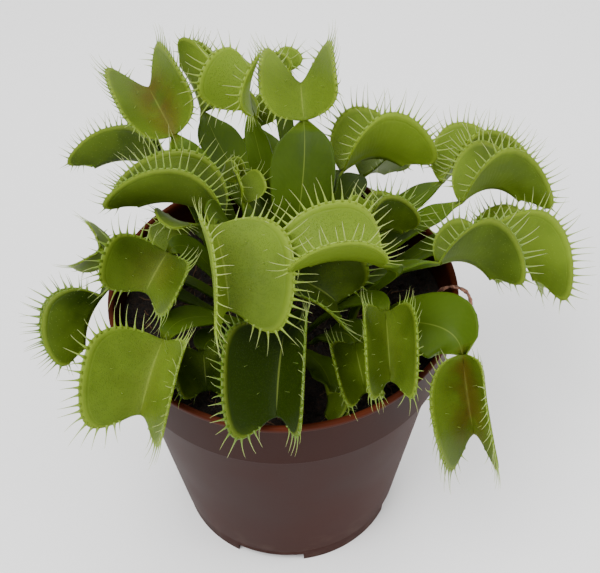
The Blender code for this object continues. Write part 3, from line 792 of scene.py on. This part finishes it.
def build_leaf(leaf, number, inner, outer, teeth):
    """One leaf as a thin shell, inner material on the side the trap opens to, and its teeth."""
    chance = np.random.default_rng(FIRST_LEAF_SEED + number)
    phase = chance.random(4) * 2 * math.pi
    columns = np.linspace(-1, 1, FINE_COLUMNS + 1)
    blade_rows = BLADE_END * np.arange(FINE_BLADE_ROWS) / FINE_BLADE_ROWS
    trap_rows = 0.5 - 0.5 * np.cos(np.pi * np.linspace(0, 1, FINE_TRAP_ROWS))
    points = leaf_surface(leaf, blade_rows, trap_rows, FINE_COLUMNS)
    count = len(points)
    normal = leaf_normals(points)
    on_trap = np.arange(count) >= FINE_BLADE_ROWS
    along = np.concatenate([blade_rows, trap_rows])
    out = np.abs(columns)
    # The blade's edge is slightly wavy, and each lobe is puckered by its veins and swollen a little.
    length, breadth = along[:, None], columns[None, :]
    swell = LOBE_SWELL * np.sin(2 * math.pi * (LOBE_SWELLS * length + 0.25 * breadth) + phase[0]) * out**2
    pucker = VEIN_PUCKER * np.sin(2 * math.pi * VEIN_PUCKERS * length + phase[1]) * (out * (1 - out) * 4)
    ripple = BLADE_WAVE * np.sin(2 * math.pi * BLADE_WAVES * length + phase[2] + 1.3 * np.sign(breadth))
    ripple = ripple * out**2 * min(1, leaf.blade / FULL_WAVE_BLADE)
    wave = np.where(on_trap[:, None], swell + pucker, ripple)
    fade = np.minimum(1, np.minimum(length, 1 - length) * 8)
    points = points + normal * (wave * fade)[:, :, None]
    width = FINE_COLUMNS + 1
    faces = [
        (i * width + j, i * width + j + 1, (i + 1) * width + j + 1, (i + 1) * width + j)
        for i in range(count - 1) for j in range(FINE_COLUMNS)
    ]
    piece = fresh("leaf_fine_" + leaf.name, points.reshape(-1, 3), faces)
    place = np.stack([
        np.tile(columns, count),
        np.repeat(along, width),
        np.repeat(on_trap.astype(float), width),
    ], axis=1)
    # The leaf's row of tones, whose lightness values are partly painted light and shade
    tone = LEAF_TONES_AND_SHADE[leaf.name]
    tone_and_shade = np.broadcast_to(tone, (len(place), 3))
    write_attribute(piece.data, "place", place)
    write_attribute(piece.data, "tone_and_shade", tone_and_shade)
    # Thick along the midrib, thin elsewhere.
    rib = piece.vertex_groups.new(name="rib")
    flat_share = LEAF_THICKNESS / MIDRIB_THICKNESS
    from_rib = out * leaf_half_widths(leaf, along, on_trap)[:, None]
    thickness = flat_share + (1 - flat_share) * np.exp(-((from_rib / MIDRIB_HALF_WIDTH) ** 2))
    for index, share in enumerate(thickness.ravel()):
        rib.add([index], float(share), "REPLACE")
    shell = piece.modifiers.new("Thickness", "SOLIDIFY")
    shell.thickness = MIDRIB_THICKNESS * MM
    shell.offset = -0.3
    shell.vertex_group = "rib"
    shell.material_offset = 1
    shell.material_offset_rim = 1
    piece.data.materials.append(inner)
    piece.data.materials.append(outer)
    put(piece, "leaf", "leaf_" + leaf.name)
    build_teeth(leaf, points[on_trap], normal[on_trap], trap_rows, tone[0], chance, teeth)


def leaf_half_widths(leaf, along, on_trap):
    """Half the leaf's width at each row, in millimetres."""
    blade = blade_half_width(along, leaf.blade / 2)
    return np.where(on_trap, leaf.lobe * np.maximum(lobe_margin(np.clip(along, 0, 1))[1], 0.1), blade)


def meets_pot(route):
    """Whether any of the points is in or nearly on the pot's wall."""
    x, y, z = np.transpose(route)
    radius = np.hypot(x, y)
    inner = BASE_RADIUS - WALL + (RIM_RADIUS - BASE_RADIUS) * np.clip(z / POT_HEIGHT, 0, 1)
    return bool(np.any((z < POT_HEIGHT + 0.5) & (radius > inner - 1.5) & (radius < RIM_RADIUS + 0.6)))


def between(values, lengths, at):
    """The point or direction that a row of them has at a distance along the margin."""
    return np.array([np.interp(at, lengths, values[:, axis]) for axis in range(3)])


def tooth_route(base, start, bend, length):
    steps = np.linspace(0, 1, TOOTH_STEPS)
    return [base + start * (length * t - 0.25) + bend * length * t * t for t in steps]


def build_teeth(leaf, points, normal, rows, tone, chance, material):
    """The bead, the teeth and the trigger hairs of one trap, as one piece."""
    heap = Heap()
    scale = (leaf.lobe / FULL_LOBE) ** 0.6
    for edge, beside in ((0, 1), (-1, -2)):
        margin = points[:, edge]
        away = margin - points[:, beside]
        up = normal[:, edge]
        lengths = np.concatenate([[0], np.cumsum(np.linalg.norm(np.diff(margin, axis=0), axis=1))])
        total = lengths[-1]
        # A bead along the margin.
        route = margin[1:-1] + up[1:-1] * 0.02
        bead = tube(route, np.full(len(route), BEAD_HALF_WIDTH * scale), TOOTH_SIDES, 1.0, leaf_mouth(leaf))
        heap.add(*bead, (0, 0.02, 0))
        count = max(6, int(total * TEETH_SHARE / (TOOTH_SPACING * (0.55 + 0.45 * scale))))
        for k in range(count):
            at = total * (TEETH_START + TEETH_SHARE * (k + 0.5 + chance.uniform(-0.16, 0.16)) / count)
            base = between(margin, lengths, at)
            outward = unit(between(away, lengths, at))
            rise = unit(between(up, lengths, at))
            after, before = min(at + 0.4, total), max(at - 0.4, 0)
            ahead = unit(between(margin, lengths, after) - between(margin, lengths, before))
            square = unit(outward - ahead * (outward @ ahead))
            start = square * 0.75 + outward * 0.25
            start = start + ahead * chance.uniform(-0.1, 0.1) + rise * chance.uniform(-0.1, 0.12)
            start = unit(start)
            middle = math.sin(math.pi * min(1, max(0, at / total))) ** 0.45
            length = TOOTH_LENGTH * scale * middle * chance.uniform(0.86, 1.1)
            bend = rise * chance.uniform(0.1, 0.3) + ahead * chance.uniform(-0.12, 0.12)
            route = tooth_route(base, start, bend, length)
            while length > SHORTEST_TOOTH and meets_pot(route):
                length *= 0.85
                route = tooth_route(base, start, bend, length)
            if meets_pot(route):
                continue
            half = TOOTH_HALF_WIDTH * scale
            steps = np.linspace(0, 1, TOOTH_STEPS)
            widths = [half * (1.25 * math.exp(-6.5 * t) + 0.4 * (1 - t) ** 0.8 + 0.05) for t in steps]
            vertices, faces = tube(route, widths, TOOTH_SIDES, 0.62, ahead)
            place = np.zeros((len(vertices), 3))
            place[:, 1] = np.repeat(steps, TOOTH_SIDES)
            heap.add(vertices, faces, place)
    if leaf.lobe > HAIRLESS_LOBE:
        add_trigger_hairs(heap, points, normal, rows, scale)
    piece = heap.piece("teeth_" + leaf.name)
    write_attribute(piece.data, "tone_and_shade", np.broadcast_to((tone, 0, 0), (heap.count, 3)))
    piece.data.materials.append(material)
    put(piece, "leaf")


def add_trigger_hairs(heap, points, normal, rows, scale):
    """Three hairs on each lobe."""
    width = points.shape[1]
    steps = np.linspace(0, 1, 4)
    for side in (-1, 1):
        for along, out in TRIGGER_HAIRS:
            row = int(np.argmin(np.abs(rows - along)))
            column = int(round((side * out + 1) / 2 * (width - 1)))
            base, rise = points[row, column], normal[row, column]
            route = [base + rise * (TRIGGER_HAIR_LENGTH * scale * t) for t in steps]
            heap.add(*tube(route, [0.1 * (1.1 - t) for t in steps], 5), (0, 0.3, 0))


# -------------------------------------------------------------------- stalk

def build_stalk():
    points = np.array(STALK_ROUTE, float)
    padded = np.concatenate([[2 * points[0] - points[1]], points, [2 * points[-1] - points[-2]]])
    route = []
    # A smooth curve through the points.
    for a, b, c, d in zip(padded, padded[1:], padded[2:], padded[3:]):
        slope, second, third = c - a, 2 * a - 5 * b + 4 * c - d, 3 * b - a - 3 * c + d
        for t in np.arange(12) / 12:
            route.append(0.5 * (2 * b + slope * t + second * t**2 + third * t**3))
    route.append(points[-1])
    share = np.linspace(0, 1, len(route))
    widths = 0.62 - 0.22 * share + 0.08 * np.sin(share * 41) + 0.05 * np.sin(share * 97)
    widths[-4:] *= (0.95, 0.8, 0.55, 0.25)
    vertices, faces = tube(route, widths, 12, 0.72)
    stalk = fresh("stalk", vertices, faces)
    stalk.data.materials.append(stalk_material())
    put(stalk, "dry_stalk", "dried_stalk")


# -------------------------------------------------------------------- stage

def build_stage():
    far = FLOOR_HALF_WIDTH
    floor = fresh("floor", [(-far, -far, 0), (far, -far, 0), (far, far, 0), (-far, far, 0)], [(0, 1, 2, 3)])
    n = Nodes("floor_pale")
    colour = n.mix(n.noise(3, 2), rgb(250, 250, 250), rgb(253, 253, 253))
    n.set(colour=colour, roughness=0.75, specular=0.2)
    floor.data.materials.append(n.material)
    world = bpy.data.worlds.new("studio")
    world.use_nodes = True
    background = world.node_tree.nodes["Background"]
    background.inputs["Color"].default_value = (1, 1, 1, 1)
    background.inputs["Strength"].default_value = WORLD_STRENGTH
    bpy.context.scene.world = world
    for name, place, size, power in LAMPS:
        light = bpy.data.lights.new(name, "AREA")
        light.shape = "DISK"
        light.size = size * MM
        light.energy = power
        lamp = bpy.data.objects.new(name, light)
        lamp.location = Vector(place) * MM
        lamp.rotation_euler = (LAMP_AIM - Vector(place)).to_track_quat("-Z", "Y").to_euler()
        bpy.context.scene.collection.objects.link(lamp)


def build_camera():
    rise, roll = CAMERA_ELEVATION, CAMERA_ROLL
    back = Vector((0, -math.cos(rise), math.sin(rise)))
    right, up = Vector((1, 0, 0)), Vector((0, math.sin(rise), math.cos(rise)))
    camera = bpy.data.cameras.new("camera")
    camera.lens = CAMERA_LENS
    camera.sensor_width = CAMERA_SENSOR
    camera.clip_start, camera.clip_end = 0.01, 20
    seat = bpy.data.objects.new("camera", camera)
    turned_right = right * math.cos(roll) + up * math.sin(roll)
    turned_up = up * math.cos(roll) - right * math.sin(roll)
    place = pot_axis + (Vector(CAMERA_TARGET) + back * CAMERA_DISTANCE) * MM
    facing = Matrix((turned_right, turned_up, back)).transposed().to_4x4()
    seat.matrix_world = Matrix.Translation(place) @ facing
    bpy.context.scene.collection.objects.link(seat)
    bpy.context.scene.camera = seat


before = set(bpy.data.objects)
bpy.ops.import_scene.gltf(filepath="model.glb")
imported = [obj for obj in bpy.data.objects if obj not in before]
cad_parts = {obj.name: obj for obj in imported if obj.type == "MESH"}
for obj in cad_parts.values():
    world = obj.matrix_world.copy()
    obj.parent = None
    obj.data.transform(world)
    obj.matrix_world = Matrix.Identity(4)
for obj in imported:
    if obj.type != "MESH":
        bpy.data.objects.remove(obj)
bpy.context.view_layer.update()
pot_low, pot_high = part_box("nursery_pot")
pot_axis = Vector(((pot_low[0] + pot_high[0]) / 2, (pot_low[1] + pot_high[1]) / 2, 0))
build_camera()
build_stage()
build_pot()
build_soil()
build_litter()
leaf_inner, leaf_outer = leaf_material("leaf_inside", True), leaf_material("leaf_outside", False)
leaf_teeth = tooth_material()
for order, each in enumerate(LEAVES):
    build_leaf(each, order, leaf_inner, leaf_outer, leaf_teeth)
build_stalk()
